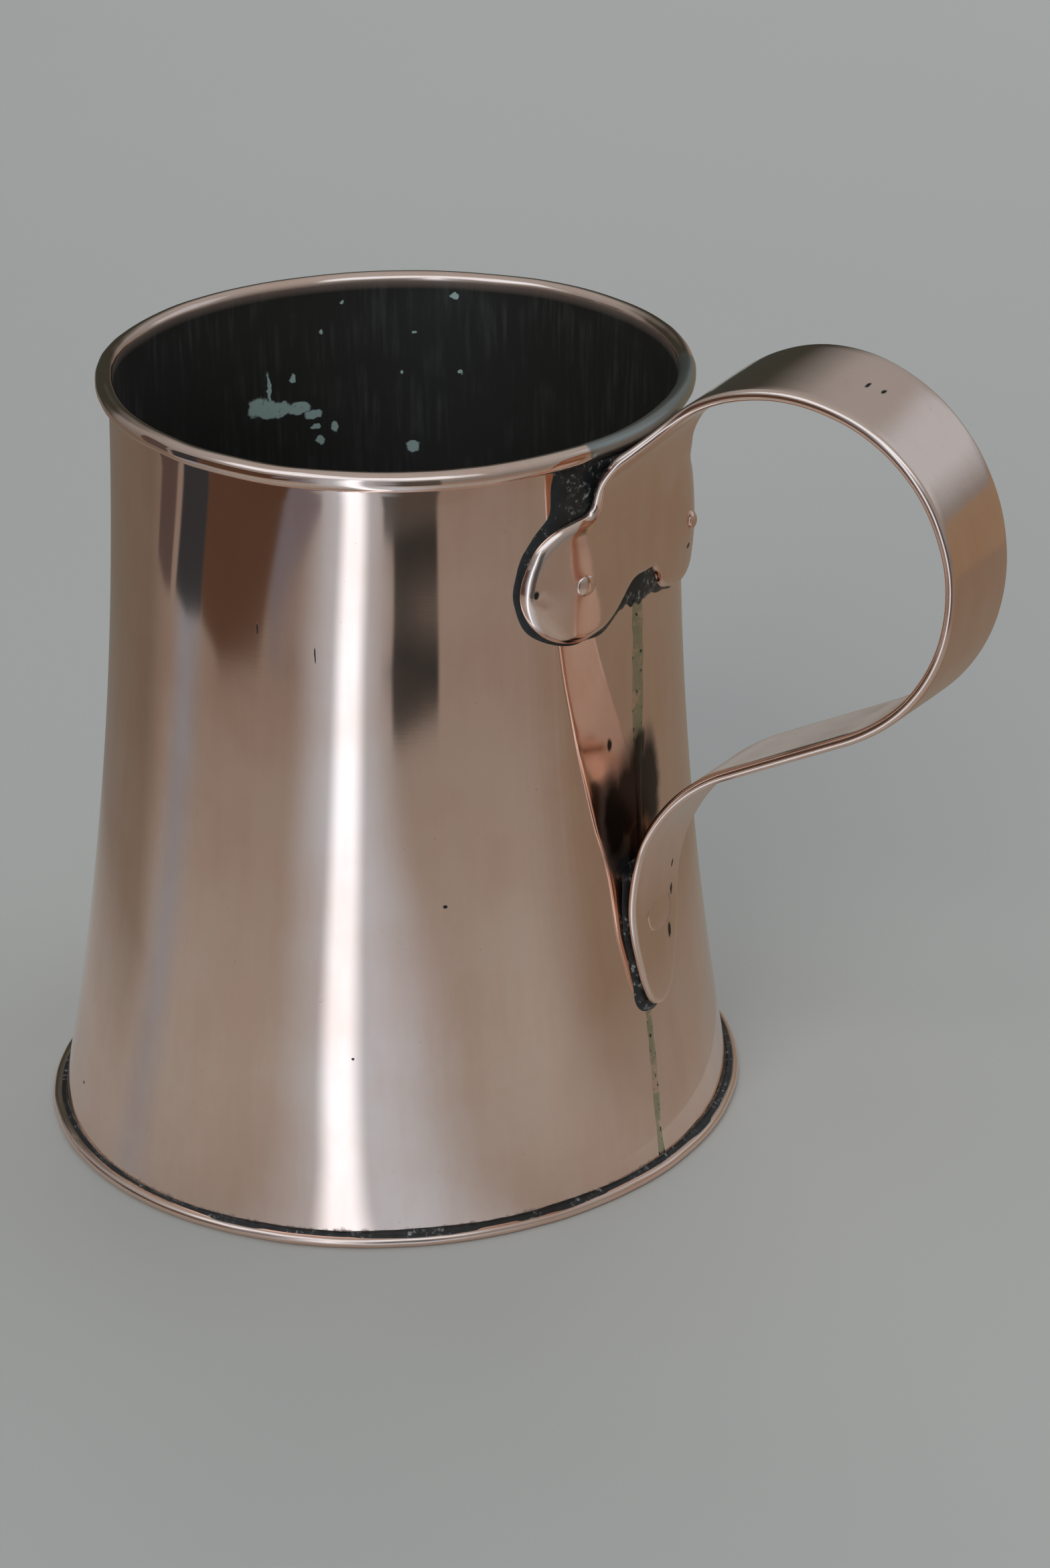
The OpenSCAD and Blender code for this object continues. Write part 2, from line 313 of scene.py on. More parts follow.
# ---------------------------------------------------------------- the strap's middle line
def follow(start, run, step=0.25):
    """Points (x, z, heading in degrees, length so far) along straight stretches and bends."""
    x, z, h = start
    out = [(x, z, h, 0.0)]
    for size, bend in run:
        length = size if bend == 0 else size * math.radians(abs(bend))
        count = max(2, int(length / step))
        x0, z0, h0, run0 = out[-1]
        for k in range(1, count + 1):
            t = k / count
            if bend == 0:
                c, s = math.cos(math.radians(h0)), math.sin(math.radians(h0))
                out.append((x0 + t * size * c, z0 + t * size * s, h0, run0 + t * length))
            else:
                side, turned = math.copysign(1, bend), h0 + t * bend
                a, b = math.radians(h0), math.radians(turned)
                out.append((
                    x0 + side * size * (math.sin(b) - math.sin(a)),
                    z0 + side * size * (math.cos(a) - math.cos(b)),
                    turned,
                    run0 + t * length,
                ))
    return np.array(out)


def strap_line():
    """The whole middle line, from below the lobes to the tip of the tongue."""
    back = 20
    for _ in range(4):
        path = follow(START, LOOP + [(back, 0), HEEL])
        heading = math.radians(follow(START, LOOP)[-1][2])
        gap = path[-1][0] - wall_r(path[-1][1]) - STRAP_MID
        back += float(gap) / -math.cos(heading)
    tongue = (path[-1][1] - TONGUE_Z) / -math.sin(math.radians(path[-1][2]))
    path = follow(START, LOOP + [(back, 0), HEEL, (tongue + 2, 0)])
    low = np.arange(START[1] - 30, START[1] - 0.2, 0.5)
    plate = np.column_stack([
        wall_r(low) + STRAP_MID - 0.25,
        low,
        90 + np.degrees(np.arcsin((WAIST_H - low) / FLARE_R)),
        low - START[1],
    ])
    return np.vstack([plate, path])


LINE = strap_line()
# Along the strap, the coordinate u is a height up to the neck and goes on as a length
LINE_U = LINE[:, 3] + START[1]


def line_at(u):
    """The middle line's x, z and heading in radians at u."""
    return [np.interp(u, LINE_U, LINE[:, k]) for k in (0, 1)] + [
        np.radians(np.interp(u, LINE_U, LINE[:, 2]))
    ]


def u_at(height):
    """Where the lower end of the strap passes a height."""
    low = LINE[len(LINE) // 2 :]
    return float(np.interp(-height, -low[:, 1], low[:, 3])) + START[1]


# ---------------------------------------------------------------- outlines, as (sideways, u)
def strap_side(lobe_inner, shoulder):
    """Right side of the strap's outline, from the notch round the lobe and on to the tip."""
    half = STRAP_W / 2
    side = curve(lobe_inner + [(LOBE_Y, LOBE_Z - LOBE_R)]) + arc((LOBE_Y, LOBE_Z), LOBE_R, -86, 20, 36)
    side += curve([(25.4, 116.2), *shoulder, (14.5, 132), (13.3, 135.2), (11.7, 138.6), (10.3, 142),
                   (half + 0.1, 145.5), (half, 149)])
    tongue = [(84, half), (74, 9.35), (65, 8.9), (60, 8.1), (55, 7.75), (50, 7.6), (45, 7.1),
              (42, 6.5), (39, 5.75), (36, 4.9), (33, 3.6), (31.4, 2.2), (TONGUE_Z, 0)]
    side += [(half, u) for u in spaced(149.6, u_at(84) - 0.6, 0.6)]
    return side + curve([(w, u_at(z)) for z, w in tongue])


def strap_outline():
    """Anticlockwise outline of the flat strap. The lobes differ a little beside the notch."""
    right = [(0, NOTCH_Z + 0.6), (2.2, NOTCH_Z + 0.5), (3.7, 107.0), (4.8, 105.0), (6.6, 103.4),
             (9.2, 102.5), (12.4, 101.5)]
    left = [(0, NOTCH_Z + 0.6), (3.4, NOTCH_Z + 0.6), (5.4, 107.4), (7.0, 105.8), (8.8, 104.1),
            (11.4, 102.3)]
    cusp = [(23.8, 119.4), (20.9, 121.8), (17.6, 122.8), (15.5, 123.2), (14.7, 124.2),
            (14.7, 126.5), (14.9, 129)]
    sloping = [(24.2, 119.0), (22.0, 121.8), (19.2, 124.4), (17.0, 127.0), (15.5, 129.6)]
    mirrored = [(-v, u) for v, u in strap_side(left, cusp)]
    return even(strap_side(right, sloping) + mirrored[-2:0:-1], 0.6)


def twist_at(heading):
    """How far the strap's far side tips up, in radians, for a heading of its middle line."""
    h = np.degrees(heading)
    crown = 8.4 * np.exp(-(((h - 2) / 42) ** 2))
    side = 2.7 * np.exp(-(((h + 88) / 42) ** 2))
    return np.radians(crown - side)


def rounded(s):
    """Height of a quarter-round edge at a share s of its width."""
    return np.sqrt(np.clip(1 - (1 - s) ** 2, 0, 1))


# The lobes are domed, most of all round their rivets, and the left one has a small pit
LOBE_SWELL = 0.95
RIVET_SWELL = 0.22
PIT = (-23.6, 111.4)
PIT_R = 0.55
PIT_DEPTH = 0.3


def place_strap(q, s, side):
    """The strap's surfaces: wrapped on the wall at the lobes, flat across round the loop."""
    v, u = q[:, 0], q[:, 1]
    x, z, h = line_at(u)
    on_wall = 1 - smooth(120, 133, u)
    wrap = on_wall + 0.45 * smooth(u_at(80), u_at(60), u)
    plate = 1 - smooth(119, 131, u)
    full = rounded(s)
    top = STRAP_T * ((1 - plate) * full / 2 + plate * (full - 0.5))
    low = -STRAP_T * ((1 - plate) * full / 2 + plate * 0.5)
    for centre in (-LOBE_Y, LOBE_Y):
        away = np.hypot(v - centre, u - LOBE_Z)
        swell = LOBE_SWELL * np.clip(1 - (away / LOBE_R) ** 2, 0, 1)
        drawn = RIVET_SWELL * np.exp(-((away / (SMALL_RIVET_D / 2)) ** 2))
        top = top + s * (swell + drawn)
    pit = np.hypot(v - PIT[0], u - PIT[1])
    top = top - PIT_DEPTH * np.exp(-((pit / PIT_R) ** 2))
    if side == 0:
        t = -0.5 * STRAP_T * plate
    else:
        t = top if side > 0 else low
    radius = WAIST_R + STRAP_MID
    turn_y = np.arcsin(np.clip(v / radius, -0.9, 0.9)) * wrap
    sag = wrap * (radius - np.sqrt(radius**2 - np.clip(v, -40, 40) ** 2))
    nx, nz = np.sin(h), -np.cos(h)
    hammered = 0.05 + 0.09 * (1 - smooth(124, 140, u))
    ripple = hammered * noise_at(np.column_stack([v, u, 0 * u]), 9, 3) * s
    t = t + ripple - v * np.sin(twist_at(h)) * smooth(128, 146, u)
    return np.column_stack([
        x - sag + t * nx * np.cos(turn_y),
        v + t * nx * np.sin(turn_y),
        z + t * nz,
    ])


def on_wall(q, grow):
    """Points at sideways distance and height q, a distance out from the wall."""
    r = wall_r(q[:, 1])
    azimuth = np.arcsin(np.clip(q[:, 0] / r, -0.95, 0.95))
    return np.column_stack([(r + grow) * np.cos(azimuth), (r + grow) * np.sin(azimuth), q[:, 1]])


# ---------------------------------------------------------------- materials
class Shader:
    """A material, with short calls for the nodes it is made of."""

    def __init__(self, name):
        self.material = bpy.data.materials.new(name)
        self.material.use_nodes = True
        self.tree = self.material.node_tree
        self.tree.nodes.clear()
        self.surface = self.add("BsdfPrincipled")
        self.output = self.add("OutputMaterial")
        self.tree.links.new(self.surface.outputs["BSDF"], self.output.inputs["Surface"])
        self.place = self.add("TexCoord").outputs["Object"]

    def add(self, kind, inputs=None, **settings):
        node = self.tree.nodes.new("ShaderNode" + kind)
        for key, value in settings.items():
            setattr(node, key, value)
        for key, value in (inputs or {}).items():
            self.put(node.inputs[key], value)
        return node

    def put(self, socket, value):
        """Links a socket to another node's output, or sets its value."""
        if isinstance(value, bpy.types.NodeSocket):
            self.tree.links.new(value, socket)
        elif isinstance(value, (tuple, list)) and len(value) == 3 and socket.type == "RGBA":
            socket.default_value = (*value, 1)
        else:
            socket.default_value = value

    def set(self, **values):
        for key, value in values.items():
            self.put(self.surface.inputs[key.replace("_", " ")], value)

    def math(self, operation, a, b=0.0):
        return self.add("Math", {0: a, 1: b}, operation=operation).outputs[0]

    def step(self, value, low, high, out_low=0.0, out_high=1.0):
        """A smooth step from one value to another."""
        inputs = {0: value, 1: low, 2: high, 3: out_low, 4: out_high}
        return self.add("MapRange", inputs, interpolation_type="SMOOTHSTEP").outputs[0]

    def mix(self, share, a, b):
        node = self.add("Mix", data_type="RGBA")
        for socket, value in zip((node.inputs[0], node.inputs[6], node.inputs[7]), (share, a, b)):
            self.put(socket, value)
        return node.outputs[2]

    def blend(self, share, a, b):
        """A number between two numbers."""
        return self.add("Mix", {0: share, 2: a, 3: b}, data_type="FLOAT").outputs[0]

    def stretched(self, x=1, y=1, z=1):
        return self.add("Mapping", {0: self.place, 3: (x, y, z)}).outputs[0]

    def noise(self, size, detail=3, rough=0.5, vector=None):
        """Noise from 0 to 1 with features of about this size in millimetres."""
        inputs = {"Scale": 1 / (size * MM), "Detail": detail, "Roughness": rough,
                  "Vector": vector or self.place}
        return self.add("TexNoise", inputs).outputs[0]

    def cover(self, share, colour, rough, metal):
        """Lays another finish over the one so far, as far as the share says."""
        self.colour = self.mix(share, self.colour, colour)
        self.shine = self.blend(share, self.shine, rough)
        self.metal = self.blend(share, self.metal, metal)

    def zone(self, name):
        return self.add("Attribute", attribute_name=name).outputs["Fac"]

    def spot(self, centre, size, vector=None, soft=0.15):
        """1 inside an ellipsoid of these half sizes in millimetres about a point, 0 outside."""
        offset = self.add("VectorMath", {0: vector or self.place, 1: tuple(centre)},
                          operation="SUBTRACT").outputs[0]
        scaled = self.add("VectorMath", {0: offset, 1: [1 / (s * MM) for s in size]},
                          operation="MULTIPLY").outputs[0]
        away = self.add("VectorMath", {0: scaled}, operation="LENGTH").outputs["Value"]
        return self.step(away, 1 + soft, 1 - soft)

    def ragged(self, size, amount):
        """Object coordinates pushed about by noise, in millimetres, for uneven edges."""
        colour = self.add("TexNoise", {"Scale": 1 / (size * MM), "Detail": 3}).outputs["Color"]
        shift = self.add("VectorMath", {0: colour, 1: (0.5, 0.5, 0.5)}, operation="SUBTRACT")
        shift = self.add("VectorMath", {0: shift.outputs[0], "Scale": 2 * amount * MM},
                         operation="SCALE")
        self.put(colour.node.inputs["Vector"], self.place)
        return self.add("VectorMath", {0: self.place, 1: shift.outputs[0]}).outputs[0]

    def spots(self, places, vector, soft=0.15):
        """1 in any of the ellipsoids, each a centre in metres and half sizes in millimetres."""
        total = 0.0
        for centre, size in places:
            total = self.math("MAXIMUM", self.spot(centre, size, vector, soft), total)
        return total

    def bump(self, height, distance, strength=1.0):
        """A bump whose height runs over this many millimetres."""
        inputs = {"Strength": strength, "Distance": distance * MM, "Height": height}
        return self.add("Bump", inputs).outputs[0]


COPPER = (0.93, 0.69, 0.575)
COPPER_DEEP = (0.88, 0.61, 0.49)
TARNISH = (0.50, 0.30, 0.23)
# Dark dirt; the same colour is also painted shade in the wall's nicks and in the crescent below the right
# lobe's rivet
DIRT_AND_SHADE = (0.022, 0.020, 0.018)
INSIDE = (0.030, 0.027, 0.024)
INSIDE_GREY = (0.060, 0.060, 0.053)
VERDIGRIS = (0.50, 0.66, 0.62)
TIN = (0.33, 0.33, 0.305)
# Colour of the dark patch laid on the wall above the tongue
ABOVE_TONGUE_DARK = (0.026, 0.016, 0.011)
SOLDER = (0.012, 0.013, 0.014)
SOLDER_GREY = (0.045, 0.047, 0.048)
SOLDER_FLECK = (0.42, 0.44, 0.44)
SPELTER = (0.56, 0.52, 0.36)
SPELTER_DULL = (0.36, 0.36, 0.24)


def copper(name, rough, anisotropic=0.0, relief=0.01):
    """Polished copper, a little cloudy, with dirt where the grime zone says."""
    m = Shader(name)
    cloud = m.noise(22, 4, 0.55)
    streak = m.noise(3.5, 4, 0.6, m.stretched(1, 1, 0.12))
    tone = m.math("ADD", m.math("MULTIPLY", cloud, 0.7), m.math("MULTIPLY", streak, 0.3))
    tone = m.step(tone, 0.38, 0.68)
    speck = m.step(m.noise(0.9, 2, 0.5), 0.72, 0.80)
    m.colour = m.mix(m.math("MULTIPLY", speck, 0.3), m.mix(tone, COPPER, COPPER_DEEP), TARNISH)
    m.shine = m.blend(tone, rough, rough * 1.25)
    m.metal = 1.0
    uneven = m.math("MULTIPLY", m.math("SUBTRACT", m.noise(1.3, 3), 0.5), 0.5)
    m.cover(m.step(m.math("ADD", m.zone("grime"), uneven), 0.35, 0.62), DIRT_AND_SHADE, 0.5, 0.15)
    m.surface.inputs["Anisotropic"].default_value = anisotropic
    scratch = m.noise(0.35, 2, 0.6, m.stretched(0.12, 0.12, 1))
    m.relief = m.bump(m.math("ADD", scratch, m.math("MULTIPLY", m.noise(5, 2), 1.2)), relief, 0.5)
    return m


def finish_copper(m):
    m.set(Base_Color=m.colour, Metallic=m.metal, Roughness=m.shine, Normal=m.relief)
    return m.material


def on_shape(places, inner=0.0):
    """Turns (azimuth in degrees, height) on the wall into true points in metres."""
    points = []
    for azimuth, z in places:
        a, r = math.radians(azimuth), float(wall_r(z)) - inner
        points.append((r * math.cos(a), r * math.sin(a), z))
    return settle(points) * MM


def darken_above_tongue(m):
    """A dark, ragged and streaked patch on the wall above the tongue."""
    patch_places = [(-8.6, 67), (-5.0, 69), (-1.2, 70), (2.8, 69.5), (-2.0, 58), (-0.4, 77), (-9.8, 80.5)]
    sizes = [(3.2, 3.2, 9.0), (4.2, 4.2, 8.0), (4.2, 4.2, 9.5), (3.4, 3.4, 9.5), (3.8, 3.8, 9.0),
             (1.8, 1.8, 3.5), (0.7, 0.7, 1.0)]
    patch_mask = m.spots(zip(on_shape(patch_places), sizes), m.ragged(5, 1.2), 0.4)
    thin = m.step(m.noise(2.2, 4, 0.7, m.stretched(1, 1, 0.3)), 0.06, 0.30)
    m.cover(m.math("MULTIPLY", m.math("MULTIPLY", patch_mask, thin), 0.98), ABOVE_TONGUE_DARK, 0.3, 0.8)


def body_copper():
    """The body's copper: spun scratches outside and a dark, streaked, spotted inside."""
    m = copper("copper_body", rough=0.055, anisotropic=0.5, relief=0.0006)
    m.surface.inputs["Anisotropic Rotation"].default_value = 0.25
    m.set(Tangent=m.add("Tangent", direction_type="RADIAL", axis="Z").outputs[0])

    # Nicks in the wall, painted as dark spots: the dark is painted shade inside each small dent
    shaded_nicks = [(-78.1, 106.4), (-66.9, 103.2), (-44.0, 59.3), (-122, 10.6), (-60, 33)]
    sizes = [(0.14, 0.14, 1.1), (0.12, 0.12, 1.5), (0.4, 0.4, 0.3), (0.4, 0.4, 0.3), (0.25, 0.25, 0.25)]
    m.cover(m.spots(zip(on_shape(shaded_nicks), sizes), m.ragged(0.8, 0.1)), DIRT_AND_SHADE, 0.5, 0.5)

    # The dark patch on the wall above the tongue
    darken_above_tongue(m)
    tin = m.math("ADD", m.zone("tinned"), m.math("MULTIPLY", m.math("SUBTRACT", m.noise(2, 3), 0.5), 0.5))
    m.cover(m.step(tin, 0.35, 0.6), TIN, 0.28, 0.9)

    inner = m.zone("inside")
    fine = m.noise(1.1, 3, 0.6, m.stretched(1, 1, 0.07))
    drip = m.math("MULTIPLY", m.step(fine, 0.42, 0.75), m.step(m.noise(9, 2), 0.35, 0.65))
    dark = m.mix(drip, INSIDE, INSIDE_GREY)
    green = [(157.2, 112.8), (154.8, 112.0), (152.5, 111.5), (148.1, 111.2), (144.8, 109.7),
             (154.6, 115.8), (149.1, 116.9), (115.2, 130.9), (123.9, 102.5), (143.4, 104.7),
             (144.5, 107.4), (140.2, 106.9), (142.8, 125.0), (138.5, 130.3), (123.5, 124.1),
             (113.7, 116.8), (126.3, 116.5)]
    sizes = [(2.0, 2.0, 1.9), (2.2, 2.2, 1.6), (2.4, 2.4, 1.5), (2.4, 2.4, 1.2), (1.9, 1.9, 0.8),
             (0.45, 0.45, 3.0), (0.6, 0.6, 0.9), (0.8, 0.8, 0.6), (1.3, 1.3, 1.3), (0.8, 0.8, 0.8),
             (0.9, 0.9, 0.5), (0.8, 0.8, 1.0), (0.4, 0.4, 0.6), (0.4, 0.4, 0.5), (0.5, 0.5, 0.4),
             (0.4, 0.4, 0.4), (0.4, 0.4, 0.3)]
    spots = m.spots(zip(on_shape(green, WALL_T), sizes), m.ragged(1.6, 0.9))
    spots = m.math("MULTIPLY", spots, m.step(m.noise(0.9, 3, 0.7), 0.28, 0.40))
    dark = m.mix(spots, dark, VERDIGRIS)
    m.cover(inner, dark, 0.5, 0.25)
    return finish_copper(m)


def plain_copper(name, rough):
    return finish_copper(copper(name, rough))


def on_strap(places, side):
    """Turns (sideways, u) on a face of the strap into true points in metres."""
    q = np.array(places, float)
    return settle(place_strap(q, np.ones(len(q)), side)) * MM


def handle_copper():
    """The strap's copper, with its few marks: the edge of the flat rivet, nicks and a pit, and painted
    shade in a crescent below the right lobe's rivet.
    """
    m = copper("copper_handle", 0.12)
    # The first of these marks is painted shade, the dark crescent below the right lobe's rivet; the
    # second is a dark spot by the pit
    marks = [(14.6, 108.0), (-24.4, 112.2)]
    sizes = [(0.7, 1.1, 0.4), (0.5, 0.5, 0.7)]
    m.cover(m.spots(zip(on_strap(marks, 1), sizes), m.ragged(1.0, 0.2), 0.3), DIRT_AND_SHADE, 0.4, 0.6)
    marks = [(3.9, u_at(55.4)), (4.4, u_at(50.2)), (3.2, u_at(43.0)), (0.5, 173.5), (1.0, 176.0)]
    sizes = [(0.8, 0.3, 0.8), (0.8, 0.35, 1.1), (0.8, 0.5, 1.4), (0.3, 0.9, 0.3), (0.3, 0.7, 0.3)]
    m.cover(m.spots(zip(on_strap(marks, -1), sizes), m.ragged(1.0, 0.25), 0.3), DIRT_AND_SHADE, 0.4, 0.7)
    return finish_copper(m)


def solder_material():
    """Blackened solder with pale grey flecks."""
    m = Shader("solder_black")
    fleck = m.step(m.noise(1.0, 4, 0.7), 0.54, 0.68)
    fleck = m.math("MULTIPLY", fleck, m.step(m.noise(5, 2), 0.46, 0.56))
    colour = m.mix(m.noise(2.5, 3), SOLDER, SOLDER_GREY)
    m.set(Base_Color=m.mix(fleck, colour, SOLDER_FLECK), Metallic=0.35,
          Roughness=m.blend(fleck, 0.38, 0.6))
    m.set(Normal=m.bump(m.noise(0.8, 3), 0.12, 0.6))
    return m.material


def spelter_material():
    """Greenish brass of the seam, dull and pitted."""
    m = Shader("spelter_brass")
    m.colour = m.mix(m.noise(3, 4), SPELTER, SPELTER_DULL)
    m.shine = 0.26
    m.metal = 0.9
    m.cover(m.step(m.noise(4, 4, 0.7), 0.50, 0.62, 0, 0.75), COPPER_DEEP, 0.16, 1.0)
    m.cover(m.step(m.noise(1.1, 2), 0.62, 0.70), DIRT_AND_SHADE, 0.6, 0.3)
    # The same dark patch above the tongue, where the seam crosses it
    darken_above_tongue(m)
    m.set(Base_Color=m.colour, Metallic=m.metal, Roughness=m.shine)
    m.set(Normal=m.bump(m.noise(0.7, 3), 0.05, 0.5))
    return m.material


def wire_material():
    m = Shader("iron_wire")
    m.set(Base_Color=m.mix(m.noise(2), (0.30, 0.30, 0.30), (0.18, 0.14, 0.12)), Metallic=0.9,
          Roughness=m.blend(m.noise(4), 0.35, 0.6))
    return m.material


# ---------------------------------------------------------------- the pieces
def make_body(material):
    """The rolled sheet: flange, flared wall, the curl at the rim and the inner face."""
    slit = BEAD_Z - BEAD_R * 0.86
    flange_end = LIP_R - LIP_H / 2
    heights = [FOLD_Z + 0.3, *spaced(2.2, slit - 1.6, 1.7), slit - 0.8, slit - 0.25]
    outer = [(wall_r(z), z) for z in heights]
    curl = arc((BEAD_X, BEAD_Z), BEAD_R, -118, 180, 28)
    inner = [(wall_r(z) - WALL_T, z) for z in spaced(slit, 2.0, 2.2)]
    profile = (
        [(flange_end, BASE_T + 0.02), (flange_end, FOLD_Z - 0.02)]
        + [(wall_r(FOLD_Z) + 0.1, FOLD_Z - 0.02)]
        + outer
        + [(wall_r(slit) - 0.15, slit + 0.05)]
        + curl
        + inner
        + [(wall_r(BASE_T) - WALL_T, BASE_T + 0.02)]
    )
    steps = 480
    points, faces = turn(profile, steps)
    r, z = np.hypot(points[:, 0], points[:, 1]), points[:, 2]
    ripple = 0.006 * noise_at(points * (1, 1, 0.5), 17, 1) + 0.0015 * noise_at(points * (1, 1, 0.5), 7, 2)
    body = smooth(4, 20, z) * (1 - smooth(124, 130, z))
    rim = smooth(130.5, 132, z)
    wave = 0.20 * noise_at(points * (1, 1, 0), 15, 5) + 0.08 * noise_at(points, 5, 6)
    grow = ripple * body + wave * rim
    points[:, :2] *= (1 + grow / r)[:, None]
    points[:, 2] += rim * 0.20 * noise_at(points * (1, 1, 0), 13, 8)

    # Zones for the material: the dark inside, dirt in the slit and at the foot, tin by the handle
    count = len(profile)
    ring = np.arange(len(points)) // steps
    start_inner = count - len(inner) - 1
    curl_start = start_inner - len(curl)
    bend = (ring - curl_start) / (len(curl) - 1)
    inside_zone = np.where(ring >= start_inner, 1.0, smooth(0.9, 1.0, bend) * 0.7)
    grime = smooth(1.1, 0.2, np.abs(z - slit)) * (r < BEAD_X - 0.3) * (ring < curl_start + 2)
    grime = np.maximum(grime, smooth(4.5, 2.0, z) * (ring < start_inner) * 0.5)
    azimuth = np.degrees(np.arctan2(points[:, 1], points[:, 0]))
    under = smooth(-30, -50, np.degrees(np.arctan2(z - BEAD_Z, r - BEAD_X)))
    grime = np.maximum(grime, smooth(24, 18, np.abs(azimuth)) * rim * under * (r > BEAD_X - 1))
    tinned = smooth(-20, -16, azimuth) * smooth(48, 30, azimuth) * rim
    add_piece("mug_body", points, faces, material, ["body_wall"],
              {"inside": inside_zone, "grime": grime, "tinned": tinned})


def make_wire(material):
    points, faces = turn(arc((BEAD_X, BEAD_Z), WIRE_R - 0.02, -90, 240, 12), 240)
    add_piece("wire_in_rim", points, faces, material, ["rim_wire"])


def dome_rise(r):
    """How far the middle of the base rises at a radius."""
    return DOME_RISE * (1 - (r / DOME_R) ** 2) if r < DOME_R else 0.0


def pinched(points):
    """1 along the left front of the foot, where the lip is pressed against the body, else 0."""
    azimuth = np.degrees(np.arctan2(points[:, 1], points[:, 0]))
    return smooth(-82, -88, azimuth) * smooth(-178, -170, azimuth)


def make_base(material):
    """The base sheet, a little domed under the mug, and its edge folded over the flange."""
    centre = LIP_R - LIP_H / 2
    groove = float(wall_r(FOLD_Z)) + GROOVE_W
    under = [(r, dome_rise(r)) for r in [0, *spaced(3, DOME_R, 3)]]
    above = [(r, BASE_T + dome_rise(r)) for r in [*spaced(DOME_R, 3, 3), 0]]
    profile = (
        under + [(57, 0), (59.5, 0), (centre - 0.4, 0)]
        + arc((centre, LIP_H / 2), LIP_H / 2, -90, 90, 12)
        + [(groove + 0.25, LIP_H), (groove, LIP_H - 0.12), (groove, FOLD_Z + 0.02)]
        + [(centre + 0.25, FOLD_Z + 0.02), (centre + 0.25, BASE_T), (57, BASE_T)]
        + above
    )
    points, faces = turn(profile, 360)
    r = np.hypot(points[:, 0], points[:, 1])
    wave = 0.22 * noise_at(points * (1, 1, 0), 20, 11) + 0.1 * noise_at(points * (1, 1, 0), 6, 12)
    lip = smooth(58.5, 60.5, r)
    shut = pinched(points)
    wave = wave - PINCH * shut * (points[:, 2] > FOLD_Z) * (np.abs(r - groove) < 0.3)
    points[:, :2] *= (1 + wave * lip / np.maximum(r, 1))[:, None]
    points[:, 2] += smooth(1.0, 1.6, points[:, 2]) * lip * 0.08 * noise_at(points * (1, 1, 0), 9, 13)
    inside_zone = (r < groove - 0.05) * (points[:, 2] > BASE_T * 0.8) * (r < 56.5)
    grime = smooth(groove + 0.5, groove, r) * smooth(1.2, 1.6, points[:, 2]) * (r > 58)
    azimuth = np.degrees(np.arctan2(points[:, 1], points[:, 0]))
    left = smooth(-104, -112, azimuth) * smooth(-172, -160, azimuth)
    grime = grime * (1 - 0.6 * shut)
    grime = np.maximum(grime, left * (0.26 + 0.22 * noise_at(points, 5, 14)) * (r > 59))
    add_piece("mug_base", points, faces, material, ["base_plate"],
              {"inside": inside_zone.astype(float), "grime": grime})


def make_inner_fillet(material):
    corner = float(wall_r(BASE_T)) - WALL_T
    reach = 1.9
    arc_in = arc((corner - reach, BASE_T + reach), reach * 0.97, -90, 0, 6)
    profile = [(corner + 0.1, BASE_T + reach), *arc_in[::-1], (corner - reach, BASE_T - 0.1),
               (corner + 0.1, BASE_T - 0.1)]
    points, faces = turn(profile, 240)
    wave = 0.25 * noise_at(points * (1, 1, 0), 6, 21)
    points[:, :2] *= (1 + wave / np.hypot(points[:, 0], points[:, 1]))[:, None]
    add_piece("solder_inside_foot", points, faces, material, ["base_inner_solder"])


def make_groove_solder(material):
    """Solder in the groove, which in places spills over the lip."""
    groove = float(wall_r(FOLD_Z)) + GROOVE_W
    profile = [(groove + 0.35, FOLD_Z + 0.1), (groove + 0.3, LIP_H - 0.05), (groove, LIP_H + 0.02),
               (groove - 0.4, LIP_H + 0.08), (groove - GROOVE_W - 0.1, LIP_H + 0.35),
               (groove - GROOVE_W - 0.3, FOLD_Z + 0.1)]
    points, faces = turn(profile, 480)
    shut = pinched(points)
    spill = np.clip(noise_at(points * (1, 1, 0), 14, 31) + 0.15, -0.3, 1) * (1 - shut)
    fine = noise_at(points * (1, 1, 0), 2.5, 32)
    outer = np.hypot(points[:, 0], points[:, 1]) > groove - 0.5
    grow = outer * (0.55 * spill + 0.12 * fine - PINCH * shut)
    points[:, :2] *= (1 + grow / np.hypot(points[:, 0], points[:, 1]))[:, None]
    points[:, 2] += (~outer) * (points[:, 2] > LIP_H) * (0.35 * np.abs(spill) + 0.1 * fine)
    add_piece("solder_in_groove", points, faces, material, ["foot_groove_solder"])


def make_strap(material):
    loop = strap_outline()
    u = loop[:, 1]
    edge = 0.85 + 1.05 * (1 - smooth(119, 131, u)) + 0.25 * smooth(u_at(80), u_at(60), u)
    wobble = 0.10 * noise_at(np.column_stack([loop, 0 * u]), 7, 41)
    loop = loop + inward(loop) * wobble[:, None]
    points, faces = slab(loop, edge, 6, 1.0, place_strap)
    add_piece("handle", points, faces, material, ["handle_strap"])


def grown(loop, amount):
    return loop - inward(loop) * np.asarray(amount)[:, None]


